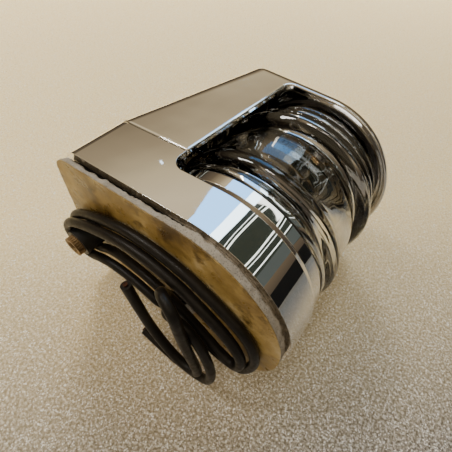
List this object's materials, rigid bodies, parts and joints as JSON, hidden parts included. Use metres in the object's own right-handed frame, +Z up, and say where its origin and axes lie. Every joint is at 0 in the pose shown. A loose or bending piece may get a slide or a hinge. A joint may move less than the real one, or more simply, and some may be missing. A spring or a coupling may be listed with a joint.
{
  "type": "navigation light",
  "caption": "Upright deck-mounted masthead light with a bullet-shaped metal base, a clear ribbed drum lens and a metal hood over its back and top.",
  "frame": {"origin": "on the deck, under the centre of the round front and on the lens's axis", "axes": "+Z up from the deck, +X forward over the bow, +Y to port"},
  "size_m": [0.0821, 0.062, 0.0902],
  "materials": {
    "chrome": "polished",
    "clear_lens": "clear",
    "black_rubber": "satin",
    "black_plastic": "matte",
    "knurled_brass": "dull",
    "contact_brass": "satin",
    "lamp_cap_metal": "satin",
    "lamp_glass": "clear",
    "filament": "dull",
    "grey_foam": "matte",
    "brown_liner": "waxy",
    "stainless": "satin",
    "wire_sleeve": "satin",
    "copper": "dull"
  },
  "bodies": {
    "base": {"base_housing": "chrome", "lens_collar": "chrome", "lower_lens_seal": "black_rubber", "lamp_carrier": "black_plastic", "mounting_insert": "knurled_brass", "wire_grommet": "black_rubber", "lower_contact": "contact_brass", "upper_contact": "contact_brass", "contact_rivets": "contact_brass", "foam_gasket": "grey_foam", "release_liner": "brown_liner", "carrier_screws": "stainless", "hood_nuts": "stainless", "positive_wire": "wire_sleeve", "negative_wire": "wire_sleeve", "wire_cores": "copper"},
    "hood_body": {"hood": "chrome", "upper_lens_seal": "black_rubber"},
    "lens_body": {"lens": "clear_lens"},
    "lamp_body": {"lamp_glass": "lamp_glass", "lamp_caps": "lamp_cap_metal", "lamp_filament": "filament"},
    "screw_left_body": {"hood_screw_left": "stainless", "hood_washer_left": "stainless"},
    "screw_right_body": {"hood_screw_right": "stainless", "hood_washer_right": "stainless"}
  },
  "joints": [
    {"name": "hood_lift", "type": "slide", "parent": "base", "child": "hood_body", "axis": [0, 0, 1], "range_m": [0, 0.06]},
    {"name": "lens_lift", "type": "slide", "parent": "base", "child": "lens_body", "axis": [0, 0, 1], "range_m": [0, 0.03]},
    {"name": "lamp_pull", "type": "slide", "parent": "base", "child": "lamp_body", "axis": [1, 0, 0], "range_m": [0, 0.012]},
    {"name": "hood_screw_left_out", "type": "slide", "parent": "base", "child": "screw_left_body", "axis": [-1, 0, 0], "range_m": [0, 0.012]},
    {"name": "hood_screw_right_out", "type": "slide", "parent": "base", "child": "screw_right_body", "axis": [-1, 0, 0], "range_m": [0, 0.012]}
  ],
  "couplings": [
    {"joint": "lens_lift", "follows": "hood_lift", "ratio": 0.5}
  ]
}
